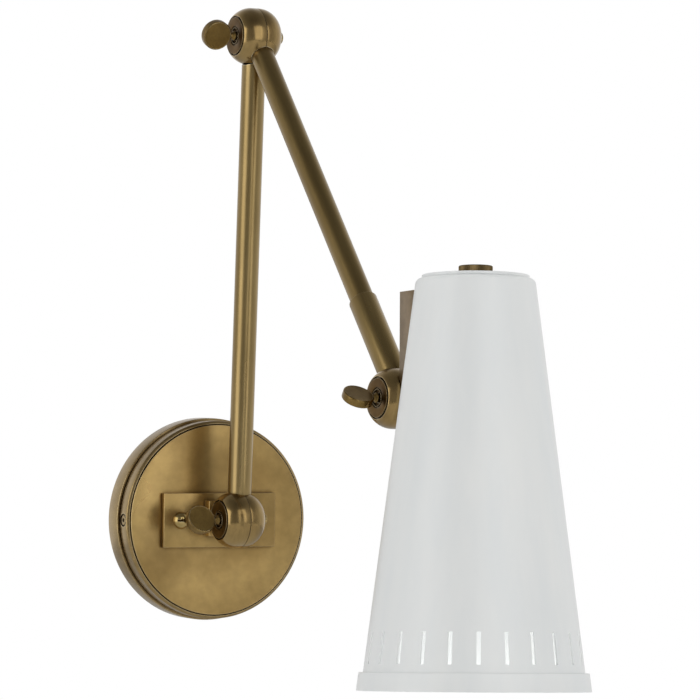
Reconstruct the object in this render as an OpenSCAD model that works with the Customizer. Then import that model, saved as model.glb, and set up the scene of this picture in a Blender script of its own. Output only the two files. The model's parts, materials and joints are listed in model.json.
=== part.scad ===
// Swing arm wall sconce: round wall plate, two jointed brass arms and a tapered metal shade.
// Origin: centre of the wall plate's rear face. +Y runs into the wall, +Z up. Millimetres.

/* [Wall plate] */
// Diameter of the rear wall ring
ring_d = 120.6; // [110:0.2:130]
// Thickness of the rear wall ring
ring_t = 12.1; // [10:0.1:12.4]
// Diameter of the groove between the wall ring and the canopy drum
groove_d = 114; // [111:0.5:115.5]
// Width of that groove
groove_w = 1.1; // [0.8:0.1:1.6]
// Diameter of the canopy drum
drum_d = 117.8; // [117:0.2:121]
// Distance from the wall to the front of the face disc
face_y = 23.75; // [23:0.25:27]
// Diameter of the face disc
face_d = 113; // [108:0.5:114]
// Width of the bracket plate
plate_w = 73.6; // [64:0.2:80]
// Height of the bracket plate
plate_h = 32.2; // [28:0.2:40]
// Thickness of the bracket plate
plate_t = 3.5; // [2.5:0.1:5]
// Distance between the two bracket screws
screw_gap = 51; // [48:1:58]

/* [Knuckles] */
// Largest radius of a knuckle
knuckle_r = 16.7; // [16:0.1:18]
// Distance from the seam of a knuckle to its cap face
cap_x = 12.8; // [12:0.1:14]
// Extra length of the shade knuckle on its thumb screw side
shade_extra = 3.6; // [0:0.2:4]
// Diameter of the thumb screw's coin
coin_d = 17.4; // [12:0.2:18]
// Thickness of the thumb screw's coin
coin_t = 4.8; // [3:0.2:6]

/* [Arms] */
// Distance from the wall to the axis of the wall knuckle
pivot_y = 52.2; // [50:0.2:58]
// Height of the wall knuckle above the plate centre
pivot_z = 1.3; // [0:0.1:2]
// Length of the lower arm between its knuckle axes
lower_len = 284; // [220:1:340]
// Forward lean of the lower arm from the vertical, in degrees
lower_lean = 2.4; // [0:0.1:5]
// Length of the upper arm between its knuckle axes
upper_len = 280; // [220:1:340]
// Angle of the upper arm from the vertical, in degrees
upper_angle = 41.7; // [41:0.1:60]
// Outer diameter of the lower arm tube
lower_d = 13.9; // [12:0.1:14]
// Outer diameter of the upper arm tube
upper_d = 13.5; // [12:0.1:14]
// Outer diameter of the swivel sleeve
sleeve_d = 16; // [15.8:0.1:17]
// Distance from the shade knuckle axis to the top of the sleeve
sleeve_top = 72; // [60:1:80]

/* [Shade] */
// Turn of the head about the upper arm, in degrees
head_swivel = 2.7; // [-10:0.1:10]
// Forward tilt of the head about its knuckle, in degrees
head_tilt = 4; // [-5:0.1:10]
// Distance from the shade knuckle axis forward to the shade axis
shade_y = 74; // [72:0.5:84]
// Height of the shade top above the shade knuckle axis
shade_top = 60; // [56:0.5:72]
// Height of the shade from its top to its rim
shade_h = 217; // [205:1:230]
// Outer radius of the cone at the top of the shade
shade_r = 31.7; // [30:0.1:33]
// Growth of the cone's radius for each millimetre down
shade_k = 0.129; // [0.12:0.001:0.14]
// Sheet thickness of the shade
shade_t = 1.2; // [1:0.1:1.6]
// Number of vent slits around the rim
slits = 24; // [12:2:36]
// Diameter of the switch knob
knob_d = 18.2; // [14:0.2:22]

/* [Hidden] */
$fn = 96;
eps = 0.01;
brass = [0.56, 0.44, 0.26];
bright_brass = [0.83, 0.69, 0.36];
steel = [0.66, 0.66, 0.68];
fibre = [0.30, 0.26, 0.22];
white = [0.88, 0.89, 0.88];

// wall fixing
ring_in = 54.5;
face_t = 2.8;
bar_t = 2.5;
bar_w = 18;
side_screw_y = (ring_t + groove_w + face_y - 1.6) / 2;
side_hole_r = 3.9;
side_head_r = 2.9;
side_head_t = 1.2;
side_seat = 1.5;
side_shank_r = 1.85;
slot_gap = 83.5;
slot_l = 10;
slot_hole_r = 2.4;
bracket_shank_r = 2;
wall_stud_r = 5;

// knuckle proportions, measured along the pivot axis from the seam
end_x = 14.2;
round_r = 12.7;
flat_left = 3;
flat_right = 1.5;
cavity_r = 12.2;
cavity_x = 5.2;
tang_t = 6;
tang_w = 7;
eye_r = 10;
slot_x = 3.4;
seam_cut = 0.7;
screw_r = 2.5;
bore_r = 2.56;
cap_r = 10.9;
cap_gap = 0.8;
cap_ring_r = 5.6;
cap_recess_r = 4.4;
coin_x = 12.2;
// neck of the thumb screw: [distance from the coin's centre, radius], then a collar
neck = [[5, 2.2], [8.6, 1.6], [10.2, 1.9]];
collar_r = 2.9;
collar_t = 0.8;
head_gap = 0.4;
washer_r = 9;
washer_x = 4.15;
washer_t = 1.9;
nut_r = 3.5;
nut_flange_r = 4.4;
nut_flange_t = 1.2;
nut_h = 3.4;
wall_coin_turn = -28;
elbow_coin_turn = 23;
shade_coin_turn = -18;
tube_wall = 1;
lead_r = 1.8;
wire_r = 2.4;
head_stud_r = 4;
spindle_r = 4;
bush_s = 44;
nut_room_s = 34;
nut_room_r = 6.4;
lead_bore_r = 2;
run_gap = 0.3;
socket_s = 12.6;

// travel of the joints from rest, in degrees
lower_forward = 75;
lower_back = 5;
elbow_open = 130;
tilt_up = 40;
tilt_down = 60;
slot_margin = 18;

// pivots: [y, z] of each knuckle axis at rest
wall_pivot = [-pivot_y, pivot_z];
elbow = wall_pivot + lower_len * [-sin(lower_lean), cos(lower_lean)];
shade_pivot = elbow + upper_len * [-sin(upper_angle), -cos(upper_angle)];
lower_turn = lower_lean;
upper_turn = 180 - upper_angle;
spindle_s = 52;

// heights below the top of the shade
band_h = 8.7;
slit_end = 13.1;
slit_length = 16.8;
slit_w = 2.2;
slit_phase = 0.3;
cap_disc_r = 28.6;
cap_top = 1.8;
shoulder_r = 3.2;
wall_slope = atan(shade_k);

// bracket between the shade knuckle and the shade
bracket_w = 22;
bracket_back = 14.2;
bracket_top = 57;
bracket_bottom = -34;
screw_z = [24, 44];

// lampholder, heights below the top of the shade
switch_r = 15;
switch_end = 21;
socket_r = 17;
socket_top = 30;
socket_end = 74;
liner_r = 13.8;
bulb_base_r = 13;
bulb_r = 23.5;
bulb_end = 152;

// frames
module along_x() { rotate([0, 90, 0]) children(); }
module along_y() { rotate([-90, 0, 0]) children(); }
module wall_frame() { translate([0, wall_pivot[0], wall_pivot[1]]) children(); }
module lower_frame() { wall_frame() rotate([lower_turn, 0, 0]) children(); }
module elbow_frame() { translate([0, elbow[0], elbow[1]]) children(); }
module upper_frame() { elbow_frame() rotate([upper_turn, 0, 0]) children(); }
// local +Z runs from the shade knuckle up along the upper arm
module arm_end_frame()
{
    translate([0, shade_pivot[0], shade_pivot[1]]) rotate([-upper_angle, 0, 0])
        rotate([0, 0, head_swivel]) children();
}
// local frame of the head: +Z up the shade axis, -Y away from the knuckle
module head_frame() { arm_end_frame() rotate([upper_angle - head_tilt, 0, 0]) children(); }
module shade_frame() { head_frame() translate([0, -shade_y, shade_top]) children(); }
function cone_r(h) = shade_r + shade_k * h;

// a ring or tube from z0 to z1
module tube(r_out, r_in, z0, z1)
{
    translate([0, 0, z0]) difference() {
        cylinder(r = r_out, h = z1 - z0);
        translate([0, 0, -1]) cylinder(r = r_in, h = z1 - z0 + 2);
    }
}
// points of an arc from angle a0 to a1
function arc(x, y, r, a0, a1, steps = 8) =
    [for (i = [0:steps]) let (a = a0 + (a1 - a0) * i / steps) [x + r * cos(a), y + r * sin(a)]];
module rod(r, z0, z1) { translate([0, 0, z0]) cylinder(r = r, h = z1 - z0); }
module hexagon(r, z0, z1) { translate([0, 0, z0]) cylinder(r = r, h = z1 - z0, $fn = 6); }

// outline of a knuckle in (radius, distance along the axis)
module knuckle_outline(extra)
{
    intersection() {
        union() {
            translate([0, -flat_left - extra]) square([knuckle_r, flat_left + extra + flat_right]);
            translate([0, -cap_x - extra]) square([knuckle_r - round_r, cap_x + extra + end_x]);
            translate([knuckle_r - round_r, flat_right]) circle(r = round_r);
            translate([knuckle_r - round_r, -flat_left - extra]) circle(r = round_r);
        }
        difference() {
            translate([0, -cap_x - extra]) square([knuckle_r + 1, cap_x + extra + end_x]);
            translate([knuckle_r, 0]) rotate([0, 0, 45]) square(seam_cut, center = true);
        }
    }
}
// solid of revolution of one half, side -1 for the left and 1 for the right
module knuckle_half(side, extra)
{
    along_x() rotate_extrude() intersection() {
        knuckle_outline(extra);
        translate([0, side < 0 ? -40 : 0.06]) square([40, side < 0 ? 39.94 : 40]);
    }
}
// wedge between two angles about X, measured from +Z towards -Y
module slot_wedge(from, to)
{
    reach = 60;
    steps = 6;
    rotate([90, 0, 90]) translate([0, 0, -slot_x]) linear_extrude(2 * slot_x)
        polygon(concat([[0, 0]], [for (i = [0:steps]) let (a = from + (to - from) * i / steps)
            reach * [-sin(a), cos(a)]]));
}
// hollow half shell: hole_turn is the fixed arm's angle, the slot runs between two angles
module knuckle_shell(side, hole_turn, hole_r, from, to, extra = 0)
{
    difference() {
        knuckle_half(side, extra);
        along_x() rod(cavity_r, -cavity_x, cavity_x);
        along_x() rod(bore_r, -40, 40);
        rotate([hole_turn, 0, 0]) rod(hole_r, 0, 2 * knuckle_r);
        slot_wedge(from, to);
        if (side < 0) along_x() rod(cap_r + cap_gap, -cap_x - extra - 1, -cap_x - extra + 1.4);
    }
}
// flat cap disc with a raised ring round the screw
module knuckle_cap(extra = 0)
{
    x0 = -cap_x - extra;
    along_x() difference() {
        union() {
            rod(cap_r - 0.5, x0 - 0.5, x0 + 1.4);
            rod(cap_r, x0, x0 + 1.4);
        }
        rod(bore_r, -40, 40);
        tube(cap_ring_r, cap_ring_r - 0.7, x0 - 1, x0 + 0.4);
        rod(cap_recess_r, x0 - 1, x0 + 0.9);
    }
}
module knuckle_washers()
{
    along_x() for (s = [-1, 1]) translate([0, 0, s * washer_x])
        tube(washer_r, bore_r, -washer_t / 2, washer_t / 2);
}
// dome nut that closes the right side
module knuckle_nut()
{
    along_x() difference() {
        union() {
            rod(nut_flange_r, end_x, end_x + nut_flange_t);
            rod(nut_r, end_x, end_x + nut_h);
        }
        rod(screw_r + 0.06, end_x - 1, end_x + 2.2);
        translate([0, 0, end_x + nut_h]) cube([0.8, 3 * nut_r, 1.2], center = true);
    }
}
// thumb screw: shaft, waisted neck and a coin turned edge-on to the axis
module thumb_screw(turn, extra = 0)
{
    head_x = -cap_x - extra - head_gap;
    coin_c = -cap_x - extra - coin_x;
    along_x() {
        rod(screw_r, head_x, end_x + 2);
        rotate_extrude() polygon(concat([[0, coin_c + neck[0][0]]],
            [for (p = neck) [p[1], coin_c + p[0]]],
            [[collar_r, head_x - collar_t], [collar_r, head_x], [0, head_x]]));
    }
    translate([coin_c, 0, 0]) rotate([turn, 0, 0]) rotate([90, 0, 0]) rotate_extrude()
        intersection() {
            translate([0, -coin_t / 2]) square([coin_d / 2, coin_t]);
            rotate([0, 0, 45]) square((coin_d / 2 + coin_t / 2 - 0.6) * sqrt(2), center = true);
        }
}
// flat tang: an eye round the screw and a tongue along local +Z up to s1
module tang(s1)
{
    difference() {
        union() {
            along_x() rod(eye_r, -tang_t / 2, tang_t / 2);
            translate([-tang_t / 2, -tang_w / 2, 0]) cube([tang_t, tang_w, s1]);
        }
        along_x() rod(bore_r, -20, 20);
    }
}
// slotted dome-head screw along -Z with its head at the origin
module dome_screw(head_r, head_h, shank_r, length)
{
    ball_r = (head_r * head_r + head_h * head_h) / (2 * head_h);
    difference() {
        union() {
            intersection() {
                translate([0, 0, head_h - ball_r]) sphere(r = ball_r);
                rod(head_r, 0, head_h + 1);
            }
            rod(shank_r, -length, eps);
        }
        translate([0, 0, head_h]) cube([1.1, 3 * head_r, 1.8], center = true);
    }
}

// wall plate
module mounting_bar()
{
    half = ring_in - 2;
    ear = face_y - face_t - 0.4;
    slot_off = slot_l / 2 - slot_hole_r;
    color(steel) difference() {
        union() {
            translate([-half, -bar_t, -bar_w / 2]) cube([2 * half, bar_t, bar_w]);
            for (x = [-half, half - bar_t]) translate([x, -ear, -bar_w / 2])
                cube([bar_t, ear, bar_w]);
        }
        for (x = [-1, 1]) translate([x * slot_gap / 2, 1, 0]) {
            for (s = [-1, 1]) translate([s * slot_off, 0, 0]) rotate([90, 0, 0])
                cylinder(r = slot_hole_r, h = 5);
            translate([-slot_off, -5, -slot_hole_r]) cube([2 * slot_off, 5, 2 * slot_hole_r]);
        }
        translate([0, -side_screw_y, 0]) along_x() rod(side_shank_r + 0.05, -60, 60);
    }
}
module wall_ring()
{
    r = ring_d / 2;
    spigot = ring_t + groove_w - 0.1;
    color(brass) rotate([90, 0, 0]) rotate_extrude($fn = 160)
        polygon([[ring_in, 0], [r - 0.3, 0], [r, 0.3], [r, ring_t - 0.8], [r - 0.8, ring_t],
            [groove_d / 2, ring_t], [groove_d / 2, spigot], [ring_in, spigot]]);
}
module canopy_drum()
{
    y0 = ring_t + groove_w;
    r = drum_d / 2;
    lip = face_d / 2 + 0.6;
    seat = face_y - face_t - 0.2;
    color(brass) difference() {
        rotate([90, 0, 0]) rotate_extrude($fn = 160)
            polygon([[ring_in, y0], [r - 0.6, y0], [r, y0 + 0.6], [r, face_y - 1.6],
                [lip + 0.3, face_y - 0.6], [lip, face_y - 0.6], [lip, seat], [ring_in, seat]]);
        for (x = [-1, 1]) translate([x * r, -side_screw_y, 0]) rotate([0, x * 90, 0]) {
            rod(side_hole_r, -side_seat, 3);
            rod(side_shank_r + 0.25, -8, 0);
        }
    }
}
module canopy_screws()
{
    color(brass) for (x = [-1, 1]) translate([x * (drum_d / 2 - 0.2), -side_screw_y, 0])
        rotate([0, x * 90, 0]) difference() {
            union() {
                rod(side_head_r, -side_head_t, 0);
                rod(side_shank_r, -12, -side_head_t / 2);
            }
            hexagon(1.9, -0.8, 1);
        }
}
module face_disc()
{
    color(brass) difference() {
        rotate([90, 0, 0]) rotate_extrude()
            polygon([[0, face_y - face_t], [face_d / 2, face_y - face_t],
                [face_d / 2, face_y - 0.5], [face_d / 2 - 0.5, face_y], [0, face_y]]);
        for (x = [-1, 1]) translate([x * screw_gap / 2, -face_y - 1, 0])
            along_y() rod(bracket_shank_r + 0.1, 0, 5);
        translate([0, -face_y - 1, pivot_z]) along_y() rod(wall_stud_r + 0.1, 0, 5);
    }
}
module bracket_plate()
{
    color(brass) difference() {
        translate([-plate_w / 2, -face_y - plate_t, -plate_h / 2]) cube([plate_w, plate_t, plate_h]);
        for (x = [-1, 1]) translate([x * screw_gap / 2, -face_y - plate_t - 1, 0])
            along_y() rod(bracket_shank_r + 0.1, 0, plate_t + 2);
        translate([0, -face_y - plate_t - 1, pivot_z])
            along_y() rod(wall_stud_r + 0.1, 0, plate_t + 2);
    }
}
module bracket_screws()
{
    color(bright_brass) for (x = [-1, 1]) translate([x * screw_gap / 2, -face_y - plate_t, 0])
        rotate([90, 0, 0]) rotate([0, 0, 90]) dome_screw(5.2, 4.2, bracket_shank_r, 13);
}
module bracket_nuts()
{
    color(steel) for (x = [-1, 1]) translate([x * screw_gap / 2, -face_y + face_t, 0]) along_y()
        difference() {
            hexagon(4, 0, 3);
            rod(bracket_shank_r + 0.05, -1, 4);
        }
}
module wall_lug()
{
    base = 10.5;
    base_t = 7;
    color(brass) difference() {
        union() {
            wall_frame() rotate([-90, 0, 0]) tang(pivot_y - face_y - plate_t - 2);
            translate([-base, -face_y - plate_t - base_t, pivot_z - base])
                cube([2 * base, base_t, 2 * base]);
            translate([0, -face_y - plate_t - eps, pivot_z]) along_y() rod(wall_stud_r, 0, 11);
        }
        translate([0, -face_y - plate_t - 4, pivot_z]) along_y() rod(wire_r, 0, 30);
    }
}
module wall_lug_nut()
{
    color(steel) translate([0, -face_y + face_t, pivot_z]) along_y() difference() {
        hexagon(8, 0, 3.4);
        rod(wall_stud_r + 0.04, -1, 5);
    }
}

// knuckles
wall_turn = -90;
module wall_shell(side)
{
    wall_frame() knuckle_shell(side, lower_turn, lower_d / 2 + 0.08,
        wall_turn - lower_forward - slot_margin, wall_turn + lower_back + slot_margin);
}
module elbow_shell(side)
{
    closed = 180 + lower_turn;
    elbow_frame() knuckle_shell(side, upper_turn, upper_d / 2 + 0.08, closed - slot_margin,
        closed + elbow_open + slot_margin);
}
module shade_shell(side)
{
    forward = 90 + upper_angle - head_tilt;
    arm_end_frame() knuckle_shell(side, 0, sleeve_d / 2 + 0.08, forward - tilt_up - slot_margin,
        forward + tilt_down + slot_margin, shade_extra);
}
module wall_knuckle_left() { color(brass) wall_shell(-1); }
module wall_knuckle_right() { color(brass) wall_shell(1); }
module wall_knuckle_cap() { color(brass) wall_frame() knuckle_cap(); }
module wall_knuckle_washers() { color(fibre) wall_frame() knuckle_washers(); }
module wall_knuckle_nut() { color(bright_brass) wall_frame() knuckle_nut(); }
module wall_thumb_screw() { color(brass) wall_frame() thumb_screw(wall_coin_turn); }
module elbow_knuckle_left() { color(brass) elbow_shell(-1); }
module elbow_knuckle_right() { color(brass) elbow_shell(1); }
module elbow_knuckle_cap() { color(brass) elbow_frame() knuckle_cap(); }
module elbow_knuckle_washers() { color(fibre) elbow_frame() knuckle_washers(); }
module elbow_knuckle_nut() { color(bright_brass) elbow_frame() knuckle_nut(); }
module elbow_thumb_screw() { color(brass) elbow_frame() thumb_screw(elbow_coin_turn); }
module shade_knuckle_left() { color(brass) shade_shell(-1); }
module shade_knuckle_right() { color(brass) shade_shell(1); }
module shade_knuckle_cap() { color(brass) arm_end_frame() knuckle_cap(shade_extra); }
module shade_knuckle_washers() { color(fibre) arm_end_frame() knuckle_washers(); }
module shade_knuckle_nut() { color(bright_brass) arm_end_frame() knuckle_nut(); }
module shade_thumb_screw()
{
    color(brass) arm_end_frame() thumb_screw(shade_coin_turn, shade_extra);
}

// arms
module arm_tube(d, s0, s1) { tube(d / 2, d / 2 - tube_wall, s0, s1); }
module arm_plug(d, s0, s1) { tube(d / 2 - tube_wall - 0.03, 2.6, s0, s1); }
module lower_tube()
{
    color(brass) difference() {
        lower_frame() arm_tube(lower_d, socket_s, lower_len - knuckle_r + 3);
        elbow_frame() along_x() rod(knuckle_r + run_gap, -20, 20);
        upper_frame() rod(upper_d / 2 + run_gap, 0, 40);
    }
}
module lower_tube_plug() { color(brass) lower_frame() arm_plug(lower_d, socket_s, socket_s + 14); }
module lower_lead() { color(fibre) lower_frame() rod(lead_r, socket_s + 2, lower_len - 42); }
module elbow_tang()
{
    color(brass) intersection() {
        elbow_frame() rotate([180 + lower_turn, 0, 0]) difference() {
            union() {
                tang(26);
                rod(lower_d / 2 - tube_wall - 0.03, 20, 38);
            }
            rod(wire_r, 24, 40);
        }
        union() {
            elbow_frame() along_x() rod(knuckle_r, -20, 20);
            elbow_frame() rotate([180 + lower_turn, 0, 0]) rod(lower_d / 2 - tube_wall - 0.03, 12, 38);
        }
    }
}
module upper_tube() { color(brass) upper_frame() arm_tube(upper_d, socket_s, upper_len - spindle_s + 4); }
module upper_tube_plug() { color(brass) upper_frame() arm_plug(upper_d, socket_s, socket_s + 14); }
module upper_lead() { color(fibre) upper_frame() rod(lead_r, socket_s + 2, upper_len - 84); }
// turned spindle in the tube's end that the sleeve turns on, local +Z up the arm
module swivel_spindle()
{
    color(brass) translate([0, shade_pivot[0], shade_pivot[1]]) rotate([-upper_angle, 0, 0])
        difference() {
            union() {
                rod(upper_d / 2 - tube_wall - 0.03, spindle_s - 4 + eps, spindle_s + 24);
                rod(spindle_r, nut_room_s - 6, spindle_s);
            }
            rod(wire_r - 0.2, 20, 90);
        }
}
module swivel_sleeve()
{
    bore = upper_d / 2 + 0.08;
    color(brass) arm_end_frame() difference() {
        rod(sleeve_d / 2, socket_s, sleeve_top);
        rod(bore, bush_s, sleeve_top + 1);
        rod(spindle_r + 0.06, nut_room_s, bush_s + 6);
        rod(nut_room_r, 0, nut_room_s);
        rod(lead_bore_r, 0, sleeve_top);
    }
}
module swivel_bush()
{
    color(fibre) arm_end_frame() tube(upper_d / 2 - 0.2, spindle_r + 0.06, bush_s + 0.1,
        spindle_s - 4.1);
}
module swivel_nut()
{
    color(steel) translate([0, shade_pivot[0], shade_pivot[1]]) rotate([-upper_angle, 0, 0])
        difference() {
            hexagon(nut_room_r - 0.4, nut_room_s - 4.5, nut_room_s - 0.4);
            rod(spindle_r + 0.03, 20, 40);
        }
}

// head
stud_end = shade_y - cone_r(shade_top) + 9;
module shade_lug()
{
    color(brass) head_frame() rotate([90, 0, 0]) difference() {
        union() {
            tang(bracket_back + 8);
            rod(head_stud_r, 18, stud_end);
        }
        rod(wire_r - 0.2, 20, stud_end + 1);
    }
}
module shade_lug_nut()
{
    wall_y = shade_y - cone_r(shade_top) + shade_t;
    color(steel) head_frame() rotate([90, 0, 0]) difference() {
        hexagon(6.8, wall_y + 1.3, wall_y + 5);
        rod(head_stud_r + 0.04, 0, 80);
    }
}
// solid of the shade's outer cone, grown by gap
module cone_solid(gap)
{
    reach = 260;
    shade_frame() translate([0, 0, -reach])
        cylinder(r1 = cone_r(reach) + gap, r2 = cone_r(-20) + gap, h = reach + 20, $fn = 160);
}
// a place on the rear wall of the shade, +Z pointing straight into the shade
module wall_spot(z)
{
    head_frame() translate([0, -shade_y + cone_r(shade_top - z), z]) rotate([90 + wall_slope, 0, 0])
        children();
}
// channel section with bosses for the screws and a block for the lug
module shade_bracket()
{
    wall = 2.6;
    inner_w = bracket_w - 2 * wall;
    color(brass) difference() {
        head_frame() translate([-bracket_w / 2, -60, bracket_bottom])
            cube([bracket_w, 60 - bracket_back, bracket_top - bracket_bottom]);
        difference() {
            head_frame() translate([-inner_w / 2, -61, bracket_bottom + wall])
                cube([inner_w, 61 - bracket_back - wall, bracket_top - bracket_bottom - 2 * wall]);
            head_frame() translate([-10, -62, -9]) cube([20, 62, 18]);
            for (z = screw_z) wall_spot(z) rod(4.4, -50, 5);
        }
        cone_solid(0.05);
        arm_end_frame() along_x() rod(knuckle_r + 0.5, -30, 30);
        head_frame() rotate([90, 0, 0]) {
            translate([-tang_t / 2 - 0.05, -tang_w / 2 - 0.05, 0])
                cube([tang_t + 0.1, tang_w + 0.1, bracket_back + 8.05]);
            rod(head_stud_r + 0.05, 0, 60);
        }
        for (z = screw_z) wall_spot(z) rod(2.05, -12, 5);
    }
}
module shade_bracket_screws()
{
    color(steel) for (z = screw_z) wall_spot(z) translate([0, 0, shade_t + 0.35])
        dome_screw(3.6, 2, 2, 10);
}
module shade_cone()
{
    slant = sqrt(1 + shade_k * shade_k);
    centre = shade_r - shoulder_r * (slant - shade_k);
    outer = arc(centre, -shoulder_r, shoulder_r, 90, wall_slope);
    inner = arc(centre, -shoulder_r, shoulder_r - shade_t, wall_slope, 90);
    rim_r = cone_r(shade_h);
    color(white) difference() {
        shade_frame() rotate_extrude($fn = 160) polygon(concat([[19, 0]], outer, [[rim_r, -shade_h],
            [rim_r - shade_t * slant, -shade_h]], inner, [[19, -shade_t]]));
        shade_frame() for (i = [0:slits - 1]) rotate([0, 0, slit_phase + i * 360 / slits])
            translate([-slit_w / 2, -cone_r(shade_h) - 5, -shade_h + slit_end])
                cube([slit_w, 20, slit_length]);
        for (z = screw_z) wall_spot(z) rod(2.05, -5, 5);
        head_frame() rotate([90, 0, 0]) rod(head_stud_r + 0.1, 0, 60);
    }
}
module rim_band()
{
    h0 = shade_h - band_h;
    h1 = shade_h + 1.2;
    color(white) shade_frame() rotate_extrude($fn = 160)
        polygon([[cone_r(h0) + 0.05, -h0], [cone_r(h0) + 1.9, -h0], [cone_r(h0) + 2.4, -h0 - 0.5],
            [cone_r(h1) + 2.4, -h1 + 0.8], [cone_r(h1) + 1.6, -h1], [cone_r(h1) - 0.6, -h1],
            [cone_r(h1) - 1.2, -h1 + 0.5], [cone_r(h1) - 1.2, -shade_h - 0.05],
            [cone_r(shade_h) + 0.05, -shade_h - 0.05]]);
}
module top_cap()
{
    color(white) shade_frame() rotate_extrude($fn = 120)
        polygon([[4.6, 0.05], [cap_disc_r, 0.05], [cap_disc_r, cap_top - 0.7],
            [cap_disc_r - 0.7, cap_top], [4.6, cap_top]]);
}
module switch_knob()
{
    ribs = 60;
    z0 = cap_top + 0.4;
    tall = 4.7;
    color(bright_brass) shade_frame() difference() {
        union() {
            rod(knob_d / 2 - 0.25, z0, z0 + tall);
            rod(3, -1, z0 + 1);
        }
        rod(2.2, -5, z0 + 2.2);
        for (i = [0:ribs - 1]) rotate([0, 0, i * 360 / ribs])
            translate([knob_d / 2, 0, z0 + tall / 2]) rotate([0, 0, 45])
                cube([0.7, 0.7, tall + 2], center = true);
    }
}
module switch_body()
{
    color(fibre) shade_frame() difference() {
        union() {
            rod(switch_r, -switch_end, -shade_t - 0.1);
            rod(4.5, -shade_t - 1, 1.2);
        }
        rod(3.06, -6, 5);
    }
    color(fibre) shade_frame() rod(2.12, -6.1, 2.6);
}
module switch_nut()
{
    color(steel) shade_frame() tube(8, 4.55, -shade_t, 0);
}
module socket_stem()
{
    color(steel) shade_frame() {
        rod(5, -socket_top - 6, -switch_end - 0.05);
        difference() {
            rod(9, -socket_top - 2.2, -socket_top);
            rod(4.9, -60, 0);
        }
    }
}
module socket_shell()
{
    color([0.9, 0.89, 0.85]) shade_frame() difference() {
        union() {
            rod(socket_r, -socket_end, -socket_top - 8);
            translate([0, 0, -socket_top - 8]) cylinder(r1 = socket_r, r2 = 11, h = 5.7);
        }
        rod(liner_r + 0.6, -socket_end - 1, -socket_end + 30);
        rod(5.05, -socket_top - 20, 0);
    }
}
module socket_liner()
{
    color(bright_brass) shade_frame() difference() {
        rod(liner_r + 0.5, -socket_end + 2, -socket_end + 28);
        rod(liner_r - 0.3, -socket_end, -socket_end + 27.2);
        rod(4, -socket_end, -20);
    }
}
module socket_contact()
{
    color(bright_brass) shade_frame() {
        rod(3, -socket_end + 25, -socket_end + 26.4);
        rod(1.5, -socket_end + 26, -socket_end + 29.9);
    }
}
// lead out of the hollow stud, round a corner and up beside the switch
module socket_lead()
{
    in_stud = 10;
    past_stud = 4;
    beside = 8;
    corner = [shade_y - stud_end - past_stud, -shade_top];
    run = [switch_r + lead_r + 0.2, -switch_end + beside] - corner;
    color([0.15, 0.15, 0.16]) shade_frame() translate([0, corner[0], corner[1]]) {
        sphere(r = lead_r + 0.1);
        along_y() rod(lead_r, 0, in_stud);
        rotate([-atan2(run[0], run[1]), 0, 0]) rod(lead_r, 0, norm(run));
    }
}
// blown globe, open at its neck where the cap closes it
module bulb_glass()
{
    neck = -socket_end - 3;
    neck_r = 14;
    shoulder = 35;
    glass_t = 1;
    centre = -bulb_end + bulb_r;
    color([0.95, 0.95, 0.92, 0.6]) shade_frame() rotate_extrude()
        polygon(concat([[neck_r - 1.4 - glass_t, neck], [neck_r - 1.4, neck], [neck_r, neck - 10]],
            arc(0, centre, bulb_r, shoulder, -90, 16),
            arc(0, centre, bulb_r - glass_t, -90, shoulder, 16), [[neck_r - glass_t, neck - 10]]));
}
module bulb_cap()
{
    color(bright_brass) shade_frame() rotate_extrude()
        polygon([[0, -socket_end - 2.9], [bulb_base_r, -socket_end - 2.9],
            [bulb_base_r, -socket_end + 17], [8, -socket_end + 21.5], [4.5, -socket_end + 24.9],
            [0, -socket_end + 24.9]]);
}

mounting_bar();
wall_ring();
canopy_drum();
canopy_screws();
face_disc();
bracket_plate();
bracket_screws();
bracket_nuts();
wall_lug();
wall_lug_nut();
wall_knuckle_left();
wall_knuckle_right();
wall_knuckle_cap();
wall_knuckle_washers();
wall_knuckle_nut();
wall_thumb_screw();
lower_tube();
lower_tube_plug();
lower_lead();
elbow_tang();
elbow_knuckle_left();
elbow_knuckle_right();
elbow_knuckle_cap();
elbow_knuckle_washers();
elbow_knuckle_nut();
elbow_thumb_screw();
upper_tube();
upper_tube_plug();
upper_lead();
swivel_spindle();
swivel_sleeve();
swivel_bush();
swivel_nut();
shade_knuckle_left();
shade_knuckle_right();
shade_knuckle_cap();
shade_knuckle_washers();
shade_knuckle_nut();
shade_thumb_screw();
shade_lug();
shade_lug_nut();
shade_bracket();
shade_bracket_screws();
shade_cone();
rim_band();
top_cap();
switch_knob();
switch_body();
switch_nut();
socket_stem();
socket_shell();
socket_liner();
socket_contact();
socket_lead();
bulb_glass();
bulb_cap();
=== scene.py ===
"""A swing arm wall sconce: antique brass wall plate, jointed arms and a white slotted shade."""

import json
import math

import bmesh
import bpy
from mathutils import Matrix, Vector


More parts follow.
